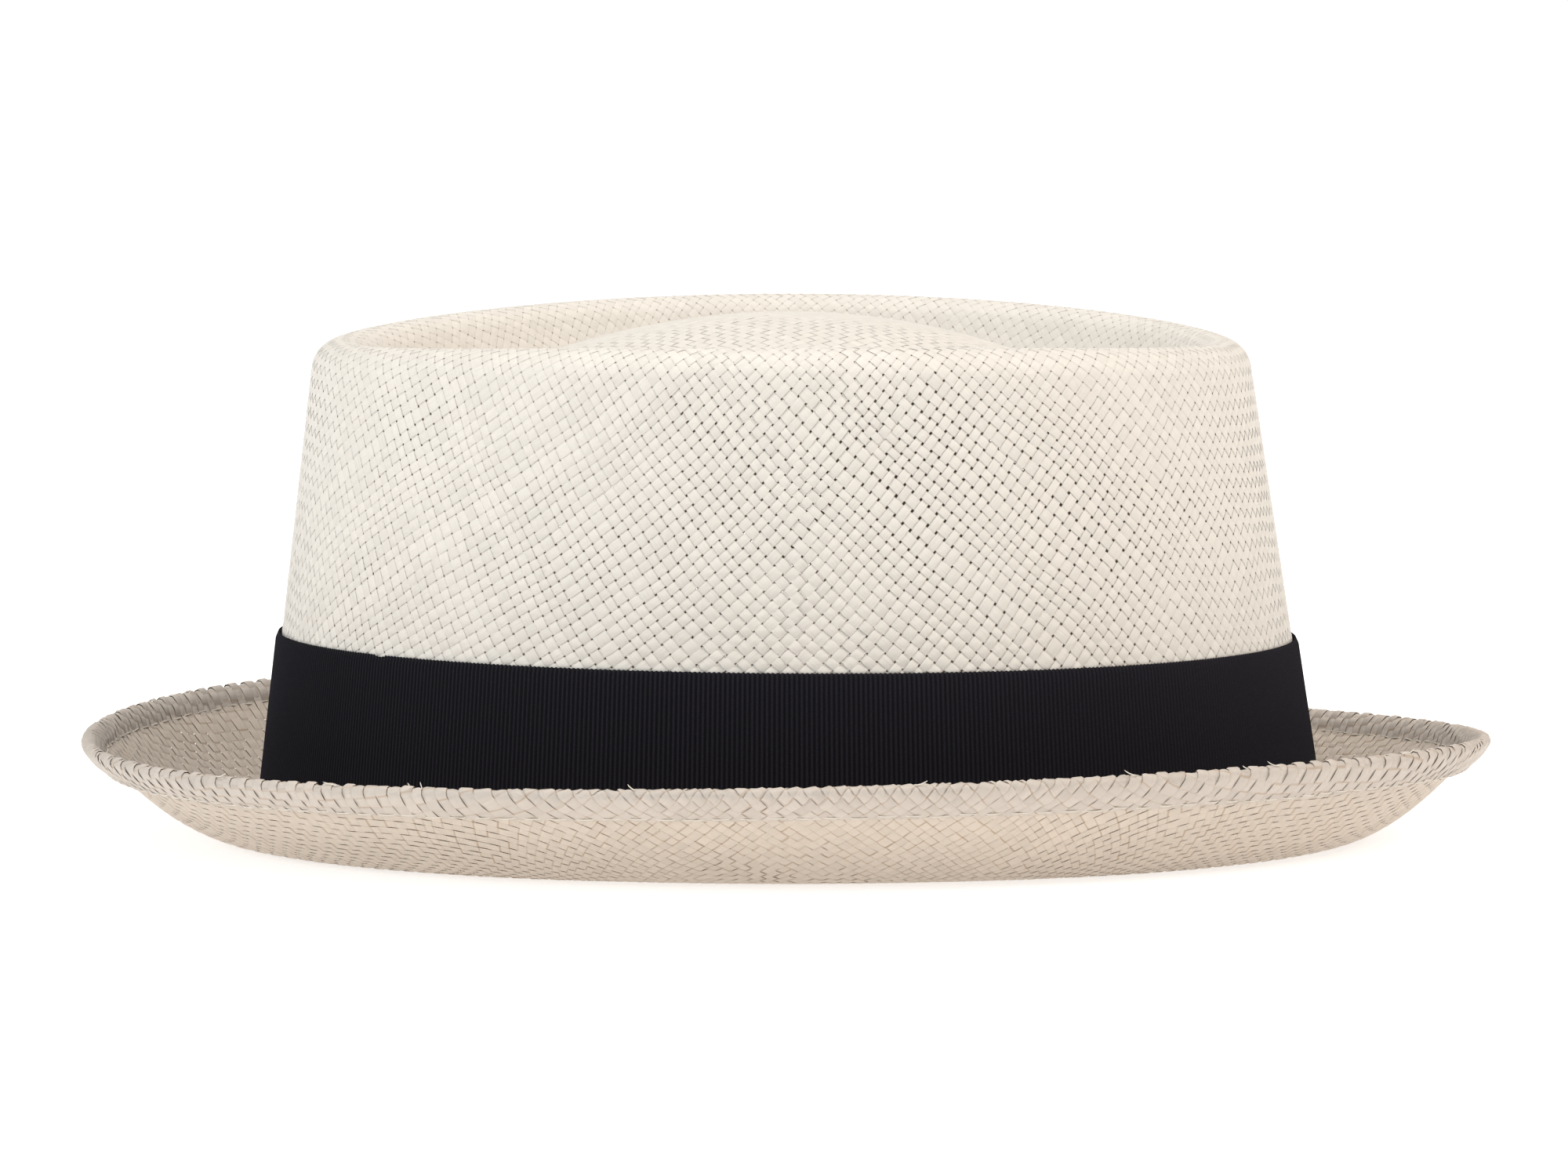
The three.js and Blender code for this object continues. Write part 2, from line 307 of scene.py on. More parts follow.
class WoundSheet:
    """A woven sheet that runs round the hat, kept as rows of points, with strands in two directions.

    The weave lies on the diagonal at the sides and ends of the hat and turns on the quarters between.
    Places are counted in strands: round the hat from the middle of the near side, and up from a
    middle line.
    """

    SEARCH_ROUNDS = 14
    LEAST_AREA = 0.2  # of a mesh of the weave, so that a round of the search can't jump far
    LONGEST_STEPS = (12, 8)  # of one round: round the hat, and up
    FURTHEST_UP = 60
    OFF_SHEET = 1000  # the depth of places that weren't found

    def __init__(self, rows, strands, turning, middle, upward, rng, stretch=1):
        grid = np.stack(rows)
        down = np.gradient(grid, axis=0)
        along = (np.roll(grid, -1, axis=1) - np.roll(grid, 1, axis=1)) / 2
        self.normals = unit(np.cross(down, along))
        self.points = grid
        self.strands = strands
        self.upward = upward
        angle = turning(np.linspace(0, strands, TURN_STEPS + 1) / strands)
        flat = math.sqrt(2)
        step = strands / TURN_STEPS
        self.grids = []
        for sign in (1, -1):
            forward = flat * np.cos(np.pi / 4 + sign * angle)
            rise = sign * flat * np.sin(np.pi / 4 + sign * angle)
            run = np.concatenate([[0], np.cumsum((forward[1:] + forward[:-1]) / 2 * step)])
            scale = strands / run[-1]
            self.grids.append((run * scale, rise * scale))

        steps = np.linalg.norm(along, axis=-1)
        perimeter = steps.sum(axis=1)
        gaps = np.linalg.norm(np.diff(grid, axis=0), axis=-1).mean(axis=1)
        pitch = (perimeter[1:] + perimeter[:-1]) / 2 / strands
        self.row_depth = np.concatenate([[0], np.cumsum(gaps / pitch / stretch)])
        self.depth = self.row_depth[-1]
        self.middle = self.row_depth[middle]
        shares = np.cumsum((steps / perimeter[:, None]).mean(axis=0))
        self.station_share = np.concatenate([[0], shares / shares[-1]])
        self.spacing = (Spacing(strands, rng), Spacing(strands, rng))
        self.drift = (waves(rng, 8, 7, 16), waves(rng, 8, 7, 16))
        self.uneven = rng.uniform(-1, 1, (2, strands, WOBBLE_STEPS, 2))
        swing = np.abs(self.grids[0][0] - self.grids[1][0]).max()
        self.reach = int(swing + 2 * flat * scale * max(self.middle, self.depth - self.middle)) + 3
        self.crossings = 2 * self.reach

    def numbers(self):
        return np.arange(self.strands)

    def first_crossings(self):
        return self.numbers() - self.reach

    def counted(self, around_hat, up):
        """The strand numbers at a place, with how they change round the hat and upwards."""
        turns = np.floor(around_hat / self.strands)
        place = (around_hat / self.strands - turns) * TURN_STEPS
        low = np.minimum(place.astype(int), TURN_STEPS - 1)
        part = place - low
        step = self.strands / TURN_STEPS
        result = []
        for run, rise in self.grids:
            run_here = run[low] + (run[low + 1] - run[low]) * part + turns * self.strands
            rise_here = rise[low] + (rise[low + 1] - rise[low]) * part
            bend = (rise[low + 1] - rise[low]) / step
            slope = (run[low + 1] - run[low]) / step + up * bend
            result.append((run_here + up * rise_here, slope, rise_here))
        return result

    def locate(self, a, b):
        """Distance round the hat and down the sheet, both in strands."""
        around_hat, up = (a + b) / 2, (a - b) / 2
        least, (longest, highest), furthest = self.LEAST_AREA, self.LONGEST_STEPS, self.FURTHEST_UP
        for _ in range(self.SEARCH_ROUNDS):
            (at_a, round_a, rise_a), (at_b, round_b, rise_b) = self.counted(around_hat, up)
            miss_a, miss_b = a - at_a, b - at_b
            area = round_a * rise_b - rise_a * round_b
            area = np.where(np.abs(area) < least, least * np.sign(area - 1e-9), area)
            onward = (miss_a * rise_b - rise_a * miss_b) / area
            upward = (round_a * miss_b - miss_a * round_b) / area
            around_hat = around_hat + np.clip(onward, -longest, longest)
            up = np.clip(up + np.clip(upward, -highest, highest), -furthest, furthest)
        found = self.counted(around_hat, up)
        missed = np.abs(a - found[0][0]) + np.abs(b - found[1][0]) > 0.01
        return around_hat, np.where(missed, self.OFF_SHEET, self.middle + self.upward * up)

    def inside(self, a, b):
        return self.locate(a, b)[1]

    def surface(self, a, b):
        around_hat, down = self.locate(a, b)
        rows, columns = self.points.shape[:2]
        down = np.clip(down, 0, self.depth)
        row = np.interp(down, self.row_depth, np.arange(rows))
        turned = np.mod(around_hat / self.strands, 1)
        column = np.interp(turned, self.station_share, np.arange(columns + 1))
        r0 = np.minimum(row.astype(int), rows - 2)
        c0 = np.minimum(column.astype(int), columns - 1)
        fr, fc = (row - r0)[..., None], (column - c0)[..., None]
        c1 = (c0 + 1) % columns

        def blend(grid):
            upper = grid[r0, c0] * (1 - fc) + grid[r0, c1] * fc
            lower = grid[r0 + 1, c0] * (1 - fc) + grid[r0 + 1, c1] * fc
            return upper * (1 - fr) + lower * fr

        return blend(self.points), unit(blend(self.normals))


class DomeSheet:
    """The woven sheet of the low dome, with its strands on both diagonals of the hat."""

    def __init__(self, rng):
        self.strands = DOME_STRANDS
        angle = np.linspace(0, 2 * np.pi, STATIONS, endpoint=False)
        place = sections(angle)
        line = crown_point(place, channel_out(place)[0], CHANNEL_HEIGHT)
        bearing = np.arctan2(line[:, 1], line[:, 0])
        order = np.argsort(bearing)
        self.bearing = bearing[order]
        self.reach = np.linalg.norm(line[order, :2], axis=-1)
        flank = crown_point(place, *channel_out(place)[1:])
        run = FLANK_FOOT * (np.linalg.norm(flank[order, :2], axis=-1) - self.reach).mean()
        rise = FLANK_FOOT * (flank[:, 2].mean() - CHANNEL_HEIGHT)
        turn = np.linspace(0, CHANNEL_BOTTOM + DOME_LAP, 30)
        back = 1 - turn
        arch = DOME_HEIGHT - CHANNEL_HEIGHT
        shares = 1 - (1 - DOME_FOOT) * back**2 + run / self.reach.mean() * turn**2
        heights = CHANNEL_HEIGHT + arch * (1 - DOME_FOOT**2) * back**2 + rise * turn**2
        inner = np.linspace(0, DOME_FOOT, 60)[:-1]
        self.profile = np.append(inner, shares), np.append(DOME_HEIGHT - arch * inner**2, heights)
        self.spacing = (Spacing(DOME_STRANDS * 2, rng), Spacing(DOME_STRANDS * 2, rng))
        self.drift = (waves(rng, 8, 7, 16), waves(rng, 8, 7, 16))
        self.uneven = rng.uniform(-1, 1, (2, DOME_STRANDS, WOBBLE_STEPS, 2))
        self.crossings = DOME_STRANDS
        self.upward = 1

    def numbers(self):
        return np.arange(-self.strands // 2, self.strands // 2)

    def first_crossings(self):
        return np.full(self.strands, -self.strands // 2)

    def plan(self, a, b):
        x = (a + b) * DOME_PITCH / math.sqrt(2)
        y = (a - b) * DOME_PITCH / math.sqrt(2)
        return x, y

    def inside(self, a, b):
        """How far out a point lies, as a share of the way to the channel."""
        x, y = self.plan(a, b)
        reach = np.interp(np.arctan2(y, x), self.bearing, self.reach, period=2 * np.pi)
        return np.hypot(x, y) / reach

    def surface(self, a, b):
        x, y = self.plan(a, b)
        share = self.inside(a, b)
        radius = np.maximum(np.hypot(x, y), 1e-9)
        reach = radius / np.maximum(share, 1e-9)
        height = np.interp(share, *self.profile)
        fall = np.interp(share - 0.01, *self.profile) - np.interp(share + 0.01, *self.profile)
        slope = fall / (0.02 * reach)
        normal = unit(np.stack([slope * x / radius, slope * y / radius, np.ones_like(x)], axis=-1))
        return np.stack([x, y, height], axis=-1), normal


def cut(number, depth, low, high):
    """Keeps the samples between two depths, and moves the sample past each end onto the end."""
    inside = (depth >= low) & (depth <= high)
    limit = np.clip(depth, low, high)
    kept = inside.copy()
    moved = number.copy()
    for step in (1, -1):
        next_inside = np.roll(inside, -step, axis=1)
        next_depth = np.roll(depth, -step, axis=1)
        next_number = np.roll(number, -step, axis=1)
        ends = next_inside & ~inside
        gap = np.where(ends, next_depth - depth, 1)
        moved = np.where(ends, number + (limit - depth) / gap * (next_number - number), moved)
        kept |= ends
    return moved, kept, inside


# A strand's section: where its points lie across its width, and how much of the wave's height is
# left there
ROUNDED = np.array([[-1, -0.55, 0.55, 1], [0.2, 0.86, 0.86, 0.2]])
FULL = np.array([[-1, -0.66, 0.66, 1], [0.3, 0.9, 0.9, 0.3]])
MAP_HALF_WIDTH = 0.48  # of a strand, in the maps, where its row is 1 wide


def strand_strips(sheet, family, look, low, high):
    """The strips of one direction of a sheet, between two depths: points, faces and their two maps."""
    numbers = sheet.numbers()
    starts = sheet.first_crossings()
    steps = np.concatenate([np.arange(sheet.crossings)[:, None] + look.samples], axis=None)
    number = starts[:, None] + steps[None, :]
    mine, other = sheet.spacing[family], sheet.spacing[1 - family]
    centre = mine.at(numbers.astype(float))[:, None] + 0 * number

    def pair(own, crossing):
        return (own, crossing) if family == 0 else (crossing, own)

    depth = sheet.inside(*pair(centre, other.at(number)))
    number, kept, inside = cut(number, depth, low, high)
    crossing = other.at(number)
    table = sheet.uneven[family]
    whole = np.floor(number).astype(int)
    part = (number - whole)[..., None]
    rows = np.arange(len(numbers))[:, None]
    following = (whole + 1) % WOBBLE_STEPS
    uneven = table[rows, whole % WOBBLE_STEPS] * (1 - part) + table[rows, following] * part

    down = sheet.inside(*pair(centre, crossing))
    looseness = look.looseness(*pair(centre, crossing), down)
    half = 0.5 * mine.width(numbers)[:, None] * (look.tight - look.open * looseness)
    wave = np.cos(np.pi * (number + numbers[:, None]))
    sign = 1 if family == 0 else -1
    half = half * (1 + WIDTH_WOBBLE * uneven[..., 0]) * (1 - look.waist * (1 - np.abs(wave)))
    across, level = look.section
    own = centre[..., None] + half[..., None] * across
    over = crossing[..., None] + 0 * own
    a, b = pair(own, over)
    wander = look.drift * sheet.drift[0](a, b), look.drift * sheet.drift[1](a, b)
    points, normals = sheet.surface(a + wander[0], b + wander[1])

    height = sign * np.sign(wave) * np.abs(wave) ** look.plateau
    lift = look.height(*pair(centre, crossing), down) * (1 + HEIGHT_WOBBLE * uneven[..., 1])
    lifted = (height * lift)[..., None] * level + look.sink
    lifted = lifted + sign * look.bias(*pair(centre, crossing), down)[..., None]
    points = points + normals * lifted[..., None]

    label = np.cumsum(kept).reshape(kept.shape) - 1
    joined = kept[:, :-1] & kept[:, 1:] & (inside[:, :-1] | inside[:, 1:])
    near, far = label[:, :-1][joined], label[:, 1:][joined]
    faces = []
    for side in range(3):
        corners = [near * 4 + side, near * 4 + side + 1, far * 4 + side + 1, far * 4 + side]
        if (family == 1) == (sheet.upward > 0):
            corners = [corners[0], corners[3], corners[2], corners[1]]
        faces.append(np.stack(corners, axis=-1))
    faces = np.concatenate(faces)

    along = number[..., None] + 0 * own
    row = rows[..., None] + 0.5 + MAP_HALF_WIDTH * across + 0 * own
    first = np.min(np.where(kept, number, np.inf), axis=1)
    first = np.where(np.isfinite(first), first, 0)
    weave = np.stack([along, row], axis=-1)[kept].reshape(-1, 2)
    laid = np.stack([along - first[:, None, None], row], axis=-1)[kept].reshape(-1, 2)
    return points[kept].reshape(-1, 3), faces, weave, laid


def mesh_object(name, points, faces, maps, material):
    """A mesh of quads with its texture maps, given for each point."""
    mesh = bpy.data.meshes.new(name)
    mesh.vertices.add(len(points))
    mesh.vertices.foreach_set("co", np.asarray(points, np.float32).ravel())
    mesh.loops.add(faces.size)
    mesh.loops.foreach_set("vertex_index", faces.astype(np.int32).ravel())
    mesh.polygons.add(len(faces))
    mesh.polygons.foreach_set("loop_start", np.arange(0, faces.size, faces.shape[1], dtype=np.int32))
    mesh.update(calc_edges=True)
    for map_name, values in maps.items():
        layer = mesh.uv_layers.new(name=map_name)
        layer.data.foreach_set("uv", np.asarray(values[faces.ravel()], np.float32).ravel())
    mesh.shade_smooth()
    mesh.materials.append(material)
    piece = bpy.data.objects.new(name, mesh)
    piece.location = CROWN_MIDDLE
    bpy.context.scene.collection.objects.link(piece)
    return piece


def woven_piece(name, sheet, families, look, low, high, material):
    """One piece of weave, with the strands of one direction or both."""
    points, faces, weave, laid = [], [], [], []
    count = 0
    for order, family in enumerate(families):
        strip = strand_strips(sheet, family, look, low, high)
        rows = len(sheet.numbers()) * order
        points.append(strip[0])
        faces.append(strip[1] + count)
        weave.append(strip[2] + [0, rows])
        laid.append(strip[3] + [0, rows])
        count += len(strip[0])
    laid = np.concatenate(laid)
    laid = laid / [laid[:, 0].max(), len(sheet.numbers()) * len(families)]
    maps = {"OFBake": laid, "weave": np.concatenate(weave)}
    piece = mesh_object(name, np.concatenate(points), np.concatenate(faces), maps, material)
    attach(piece, "root")
    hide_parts("straw_body")


def smooth_step(value, low, high):
    share = np.clip((value - low) / (high - low), 0, 1)
    return share * share * (3 - 2 * share)


# Where the points lie along a strand, from each crossing's middle
PLAIN_SAMPLES = np.array([-0.28, 0.28])
ROUND_SAMPLES = np.array([-0.36, 0, 0.36])
FINE_SAMPLES = np.array([-0.38, -0.13, 0.13, 0.38])


def crown_turning(share):
    return CROWN_TURN * np.sin(4 * np.pi * share) * (1 - CROWN_LEAN * np.sin(2 * np.pi * share))


def brim_turning(share):
    """The brim's weave is square to its edge on the quarters, further back on the back ones."""
    past = np.mod(share, 0.5)
    near = np.minimum(past, 0.5 - past)
    front = share < 0.5
    # It turns and turns back between these shares of the way round
    turned = smooth_step(near, np.where(front, 0.045, 0.028), np.where(front, 0.145, 0.115))
    turned = turned * (1 - smooth_step(near, 0.155, 0.25))
    return -BRIM_TURN * np.sign(np.sin(4 * np.pi * share)) * turned


# Rows of the crown's sheet: the first one on the wall, the one from which places are counted, the ones
# between which the weave opens, and the last one of the flank's piece
WALL_START = CHANNEL_ROWS + FLANK_ROWS + CREST_ROWS
MIDDLE_ROW = WALL_START + 19
OPENING_ROWS = [WALL_START - 19, WALL_START + 7]
FLANK_END = WALL_START - 14
HEM_START = 12  # rows before the brim's edge
UNDER_RIBBON = 0.725  # share of the way down the crown's sheet where the ribbon covers it
LOOSEST_BEARING = 0.3  # radians on from the middle of the near and far sides
# Two places where a strand was pulled: how far round from the near side's middle, as a share, and
# how many strands up from the middle row
PULLED_PLACES = np.array([[-0.062, 1], [-0.178, 11.3]])
PULLED_GAP = 1.2
PULLED_LENGTH = 3
# How far strands rise and sink, in mm
CREST_RELIEF = 0.17
WALL_RELIEF_MORE = 0.13
DOME_RELIEF = 0.22
BRIM_RELIEF = 0.19
EDGE_RELIEF_MORE = 0.17


def crown_pieces(crown, gaps, straw):
    """The weave of the wall, crest and flank, more open on the near and far sides of the wall."""
    pulled, up = PULLED_PLACES.T
    (pulled_a, _, _), (pulled_b, _, _) = crown.counted(pulled * CROWN_STRANDS, up)
    opening = crown.row_depth[OPENING_ROWS]
    crest = crown.row_depth[FLANK_END]
    covered = crown.row_depth[-1] * UNDER_RIBBON

    def bearing(a, b):
        return np.pi * (a + b) / CROWN_STRANDS

    def looseness(a, b, down):
        loose = 0.9 * np.abs(np.cos(bearing(a, b) - LOOSEST_BEARING)) ** 1.6 + 0.35 * gaps(a, b)
        loose = np.clip(loose * smooth_step(down, *opening), 0, 1)
        loose = loose * (1 - 0.5 * smooth_step(down, covered - 10, covered - 2))
        for place_a, place_b in zip(pulled_a, pulled_b):
            away = (a - place_a) ** 2 + ((b - place_b) / PULLED_LENGTH) ** 2
            loose = loose + PULLED_GAP * np.exp(-away / 2)
        return loose

    def height(a, b, down):
        relief = CREST_RELIEF + WALL_RELIEF_MORE * smooth_step(down, *opening)
        return relief * (1 - 0.4 * np.abs(np.sin(bearing(a, b))) ** 3) * MM

    look = SimpleNamespace(
        section=ROUNDED, samples=ROUND_SAMPLES, tight=0.98, open=0.165, looseness=looseness,
        plateau=0.9, waist=0.07, drift=0.1, sink=-CROWN_SKIN, height=height,
        bias=lambda a, b, down: 0 * down,
    )
    plain_look = SimpleNamespace(**vars(look))
    plain_look.samples = PLAIN_SAMPLES
    for name, family in (("crown_rising_strands", 0), ("crown_falling_strands", 1)):
        woven_piece(name, crown, (family,), look, crest, covered, straw)
    woven_piece("flank_strands", crown, (0, 1), plain_look, 0, crest, straw)
    woven_piece("crown_foot_strands", crown, (0, 1), plain_look, covered, crown.depth, straw)


def dome_piece(dome, gaps, straw):
    look = SimpleNamespace(
        section=ROUNDED, samples=PLAIN_SAMPLES, tight=0.985, open=0.03,
        looseness=lambda a, b, down: 0.5 + 0.3 * gaps(a, b),
        plateau=0.7, waist=0.03, drift=0.1, sink=-CROWN_SKIN,
        height=lambda a, b, down: DOME_RELIEF * MM + 0 * down,
        bias=lambda a, b, down: 0 * down,
    )
    woven_piece("dome_strands", dome, (0, 1), look, 0, dome.profile[0][-1], straw)


def brim_pieces(brim, edge_row, gaps, shaded_brim_straw, shaded_hem_straw):
    """The weave of the brim, and with plumper strands that of its rolled edge and hem."""
    edge_depth = brim.row_depth[edge_row + EDGE_ROWS // 2]
    split = brim.row_depth[edge_row - HEM_START]

    def edge_puff(down):
        rising = smooth_step(down, edge_depth - 1.4, edge_depth - 0.4)
        return rising * (1 - smooth_step(down, edge_depth + 0.6, edge_depth + 1.6))

    def height(a, b, down):
        return (BRIM_RELIEF + EDGE_RELIEF_MORE * edge_puff(down)) * MM

    def bias(a, b, down):
        """Over the edge, the strands that cross it steeply lie on top."""
        steep = -brim_turning(np.mod((a + b) / 2 / BRIM_STRANDS, 1)) / BRIM_TURN
        return (0.1 + 0.04 * edge_puff(down)) * steep * MM

    look = SimpleNamespace(
        section=ROUNDED, samples=PLAIN_SAMPLES, tight=0.99, open=0.05,
        looseness=lambda a, b, down: 0.5 + 0.5 * gaps(a, b),
        plateau=0.6, waist=0.03, drift=0.12, sink=0, height=height, bias=bias,
    )
    woven_piece("brim_strands", brim, (0, 1), look, 0, split, shaded_brim_straw)
    rim_look = SimpleNamespace(**vars(look))
    rim_look.section, rim_look.samples = FULL, FINE_SAMPLES
    rim_look.tight, rim_look.plateau, rim_look.waist = 1.06, 0.9, 0.06
    woven_piece("rim_and_hem_strands", brim, (0, 1), rim_look, split, brim.depth, shaded_hem_straw)


def straw_pieces(crown_straw, shaded_brim_straw, shaded_hem_straw):
    """All of the weave. The random draws are made in this order."""
    rng = np.random.default_rng(SEED)
    angle = -np.pi / 2 + np.linspace(0, 2 * np.pi, STATIONS, endpoint=False)
    place = sections(angle)
    crown = WoundSheet(crown_rows(place), CROWN_STRANDS, crown_turning, MIDDLE_ROW, -1, rng)
    gaps = waves(rng, 9, 14, 60)
    crown_pieces(crown, gaps, crown_straw)
    dome_piece(DomeSheet(rng), gaps, crown_straw)

    rows, edge_row = brim_rows(place)
    stretch = np.ones(len(rows) - 1)
    stretch[edge_row - 3 : edge_row + EDGE_ROWS + 5] = EDGE_STRETCH
    brim = WoundSheet(rows, BRIM_STRANDS, brim_turning, edge_row - ROLL_ROWS, 1, rng, stretch)
    brim_pieces(brim, edge_row, gaps, shaded_brim_straw, shaded_hem_straw)


# Threads and loose fibres

TUBE_SIDES = 6
STITCH_PITCH = 4.9 * MM
STITCH_SHARE = 0.86  # of its pitch that each stitch takes
STITCH_STEPS = 7
STITCH_RADIUS = 0.14 * MM
EDGE_LOOP = 2 * np.pi * 125 * MM  # about the length of the brim's edge
FIBRE_RADIUS = 0.11 * MM
FIBRE_STEPS = 7
FIBRES = 12
SEEN_FIBRES = np.radians([-128.4, -121.4, -120.4, -61])  # their bearings in the photo


def tubes(paths, sides_to, radius, tip):
    """Thin closed tubes along paths of points, narrower at the ends."""
    count, steps = paths.shape[:2]
    along = unit(np.gradient(paths, axis=1))
    across = unit(np.cross(along, sides_to))
    over = np.cross(across, along)
    turn = np.linspace(0, 2 * np.pi, TUBE_SIDES, endpoint=False)
    share = np.linspace(-1, 1, steps)
    width = radius * (tip + (1 - tip) * (1 - share**6))
    ring = across[:, :, None] * np.cos(turn)[:, None] + over[:, :, None] * np.sin(turn)[:, None]
    points = paths[:, :, None] + ring * width[None, :, None, None]
    label = np.arange(count * steps * TUBE_SIDES).reshape(count, steps, TUBE_SIDES)
    near, far = label[:, :-1], label[:, 1:]
    sides = np.stack([near, np.roll(near, -1, 2), np.roll(far, -1, 2), far], axis=-1).reshape(-1, 4)
    caps = []
    for step, order in ((0, (0, 3, 2, 1)), (steps - 1, (0, 1, 2, 3))):
        ring_label = label[:, step]
        for quad in (ring_label[:, [0, 1, 2, 3]], ring_label[:, [0, 3, 4, 5]]):
            caps.append(quad[:, list(order)])
    faces = np.concatenate([sides] + caps)
    run = np.broadcast_to(share[None, :, None] * 0.45 + 0.5, label.shape)
    row = (np.arange(count)[:, None, None] + 0.1 + np.arange(TUBE_SIDES) * 0.15) / count
    laid = np.stack([run, np.broadcast_to(row, label.shape)], axis=-1)
    return points.reshape(-1, 3), faces, laid.reshape(-1, 2)


def hem_stitches(material):
    """The seam of the rolled edge: a row of long stitches on each side of the brim."""
    rng = np.random.default_rng(SEED + 1)
    count = int(EDGE_LOOP / STITCH_PITCH)
    share = np.linspace(-0.5, 0.5, STITCH_STEPS)
    paths, ways = [], []
    for from_edge, side, shift in ((SEAM_ABOVE, 1, 0), (SEAM_BELOW, -1, 0.5)):
        starts = (np.arange(count) + shift) / count * 2 * np.pi
        angle = starts[:, None] + share * STITCH_SHARE * 2 * np.pi / count
        place = sections(angle.ravel())
        drift = np.repeat(rng.uniform(-0.25, 0.25, (count, 1)), STITCH_STEPS, axis=1)
        drift = drift + rng.uniform(-0.3, 0.3, (count, 1)) * share
        inset = from_edge + drift.ravel() * MM
        roll = np.array(ROLL_ABOVE if side > 0 else ROLL_BELOW) * MM
        level = np.interp(inset, roll[:, 0], roll[:, 1])
        rise = 0.2 - 0.4 * np.tile(np.abs(2 * share) ** 4, count)
        out = brim_point(place, brim_share(place, inset), side * (level + rise * MM))
        higher = brim_point(place, brim_share(place, inset), side * (level + (rise + 1) * MM))
        paths.append(out.reshape(count, STITCH_STEPS, 3))
        ways.append(unit(higher - out).reshape(count, STITCH_STEPS, 3))
    points, faces, laid = tubes(np.concatenate(paths), np.concatenate(ways), STITCH_RADIUS, 0.6)
    maps = {"OFBake": laid, "weave": laid * [9, 2 * count]}
    stitches = mesh_object("hem_stitches", points, faces, maps, material)
    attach(stitches, "root")


def loose_fibres(material):
    """A few short fibres that stand off the rolled edge."""
    rng = np.random.default_rng(SEED + 2)
    shape = (FIBRES, FIBRE_STEPS, 3)
    at = np.append(SEEN_FIBRES, rng.uniform(0, 2 * np.pi, FIBRES - len(SEEN_FIBRES)))
    share = np.linspace(0, 1, FIBRE_STEPS)
    angle = at[:, None] + share * rng.uniform(-0.03, 0.03, (FIBRES, 1))
    place = sections(angle.ravel())
    stand = np.tile(share**2, FIBRES) * np.repeat(rng.uniform(0.2, 1, FIBRES), FIBRE_STEPS)
    edge = brim_point(place, 1 + 0 * stand, 0)
    outward = place.brim_out * (0.7 + 0.6 * stand[:, None]) * MM
    paths = edge + outward + [0, 0, MM] * (1.05 + 1.2 * stand[:, None])
    ways = place.brim_out + [0, 0, 0.3]
    points, faces, laid = tubes(paths.reshape(shape), ways.reshape(shape), FIBRE_RADIUS, 0.4)
    maps = {"OFBake": laid, "weave": laid * [9, 2 * FIBRES]}
    fibres = mesh_object("loose_fibres", points, faces, maps, material)
    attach(fibres, "root")


# Ribbon

RIB_PITCH = 0.95 * MM
RIB_HEIGHT = 0.13 * MM
RIBBON_STAND_OFF = 1 * MM
RIBBON_THICKNESS = 0.45 * MM
# Shares of its width, and for the back also the places in the map
RIBBON_ROWS = (0, 0.012, 0.035, 0.15, 0.32, 0.5, 0.68, 0.85, 0.965, 0.988, 1)
BACK_ROWS = ((1, 1.02), (0.5, 1.5), (0, 1.98))
STEPS_A_RIB = 4
TACK_PLACE = -80.6 * MM  # along the hat, towards the back of the near side
TACK_HALF_WIDTH = 1.2 * MM
TACK_DEPTH = 0.35 * MM


